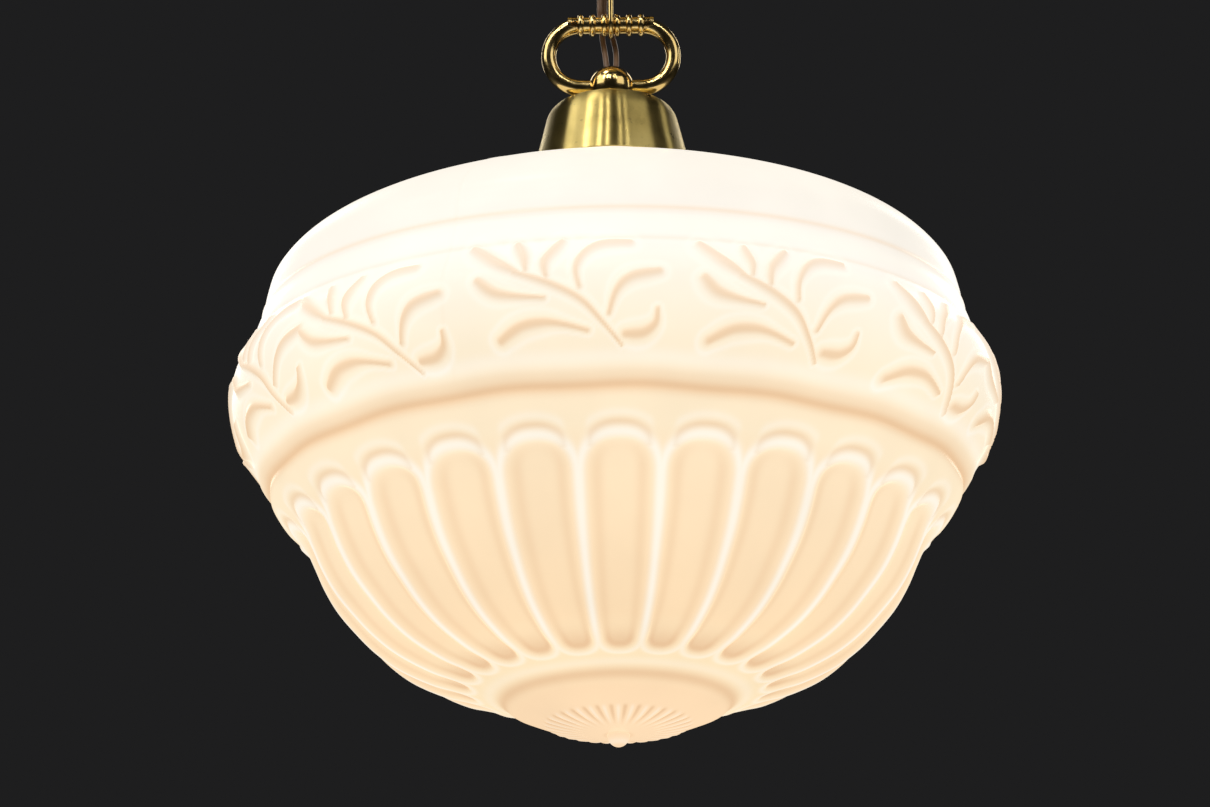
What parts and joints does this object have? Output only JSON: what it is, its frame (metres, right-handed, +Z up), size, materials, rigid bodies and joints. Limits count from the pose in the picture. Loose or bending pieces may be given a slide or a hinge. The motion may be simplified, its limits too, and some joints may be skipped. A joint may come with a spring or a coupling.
{
  "type": "pendant ceiling light",
  "caption": "Round opal glass bowl pendant with leaf band and fluted base, hung by a beaded brass loop and short chain from a brass canopy.",
  "frame": {"origin": "centre of the ceiling plane, midway between the two ceiling screw holes, on the crossbar's top face", "axes": "+Z up into the ceiling and along the lamp's axis, +X along the crossbar and the wide hanging loop, -Y towards the viewer"},
  "size_m": [0.35, 0.35, 0.5],
  "materials": {
    "zinc_steel": "zinc-plated pressed steel, slightly dull",
    "plain_brass": "turned brass, plain inner part, not lacquered",
    "polished_brass": "polished lacquered brass",
    "satin_brass": "satin aged brass with fine brushing and faint tarnish",
    "bright_steel": "blued spring steel",
    "thermoplastic": "ivory heat-resistant plastic, matt",
    "gasket_rubber": "dark grey silicone rubber",
    "porcelain": "white glazed porcelain",
    "opal_glass": "pressed opal glass lit from inside, warm white, thicker glass more peach",
    "frosted_glass": "frosted bulb glass, lit",
    "clear_glass": "clear glass stem",
    "cap_metal": "plain aluminium screw cap",
    "black_vitrite": "black glass insulator",
    "tungsten": "coiled tungsten wire",
    "wire_brown": "brown plastic wire insulation, satin"
  },
  "bodies": {
    "ceiling_mount": {"crossbar": "zinc_steel", "ceiling_nipple": "plain_brass", "nipple_lock_nut": "zinc_steel", "canopy_loop": "polished_brass", "wire_bush": "thermoplastic", "terminal_block": "thermoplastic", "terminal_inserts": "plain_brass", "terminal_screws": "zinc_steel", "block_screw": "zinc_steel", "wire_a_ceiling": "wire_brown", "wire_b_ceiling": "wire_brown"},
    "collar": {"screw_collar": "polished_brass"},
    "canopy_cover": {"canopy": "satin_brass"},
    "chain_top": {"link_top": "polished_brass", "wire_a_upper": "wire_brown", "wire_b_upper": "wire_brown"},
    "chain_middle": {"link_middle": "polished_brass", "wire_a_lower": "wire_brown", "wire_b_lower": "wire_brown"},
    "chain_bottom": {"link_bottom": "polished_brass"},
    "lamp_head": {"hanging_loop": "polished_brass", "ball_hub": "polished_brass", "lamp_nipple": "plain_brass", "shade_cap": "satin_brass", "cap_washer": "zinc_steel", "cap_lock_nut": "zinc_steel", "gallery_plate": "zinc_steel", "plate_nut": "zinc_steel", "shade_gasket": "gasket_rubber", "spring_arm_1": "bright_steel", "spring_arm_2": "bright_steel", "spring_arm_3": "bright_steel", "arm_rivets": "zinc_steel", "holder_cap": "plain_brass", "porcelain_insert": "porcelain", "centre_contact": "plain_brass", "side_contact": "plain_brass", "holder_terminals": "plain_brass", "screw_shell": "plain_brass", "holder_skirt": "plain_brass", "wire_a_lamp": "wire_brown", "wire_b_lamp": "wire_brown"},
    "shade": {"glass_shade": "opal_glass"},
    "bulb": {"bulb_glass": "frosted_glass", "bulb_cap": "cap_metal", "bulb_insulator": "black_vitrite", "bulb_contact": "cap_metal", "bulb_stem": "clear_glass", "filament_supports": "tungsten", "bulb_filament": "tungsten"}
  },
  "joints": [
    {"name": "top_link_swing", "type": "hinge", "parent": "ceiling_mount", "child": "chain_top", "pos_m": [0, 0, -0.06875], "axis": [1, 0, 0], "range_deg": [-12, 12], "deforming": ["wire_a_ceiling", "wire_b_ceiling"]},
    {"name": "middle_link_swing", "type": "hinge", "parent": "chain_top", "child": "chain_middle", "pos_m": [0, 0, -0.0992], "axis": [0, 1, 0], "range_deg": [-20, 20], "deforming": ["wire_a_upper", "wire_b_upper"]},
    {"name": "bottom_link_swing", "type": "hinge", "parent": "chain_middle", "child": "chain_bottom", "pos_m": [0, 0, -0.1281], "axis": [0, 1, 0], "range_deg": [-20, 20], "deforming": ["wire_a_lower", "wire_b_lower"]},
    {"name": "lamp_swing", "type": "hinge", "parent": "chain_bottom", "child": "lamp_head", "pos_m": [0, 0, -0.1568], "axis": [1, 0, 0], "range_deg": [-25, 25], "deforming": ["wire_a_lamp", "wire_b_lamp"]},
    {"name": "shade_release", "type": "slide", "parent": "lamp_head", "child": "shade", "axis": [0, 0, -1], "range_m": [0, 0.11], "deforming": ["spring_arm_1", "spring_arm_2", "spring_arm_3"]},
    {"name": "bulb_turn", "type": "hinge", "parent": "lamp_head", "child": "bulb", "pos_m": [0, 0, -0.3], "axis": [0, 0, 1], "range_deg": [-720, 0]},
    {"name": "collar_slide", "type": "slide", "parent": "ceiling_mount", "child": "collar", "axis": [0, 0, -1], "range_m": [0, 0.036]},
    {"name": "canopy_slide", "type": "slide", "parent": "ceiling_mount", "child": "canopy_cover", "axis": [0, 0, -1], "range_m": [0, 0.036]}
  ],
  "couplings": [
    {"joint": "canopy_slide", "follows": "collar_slide", "ratio": 1}
  ]
}
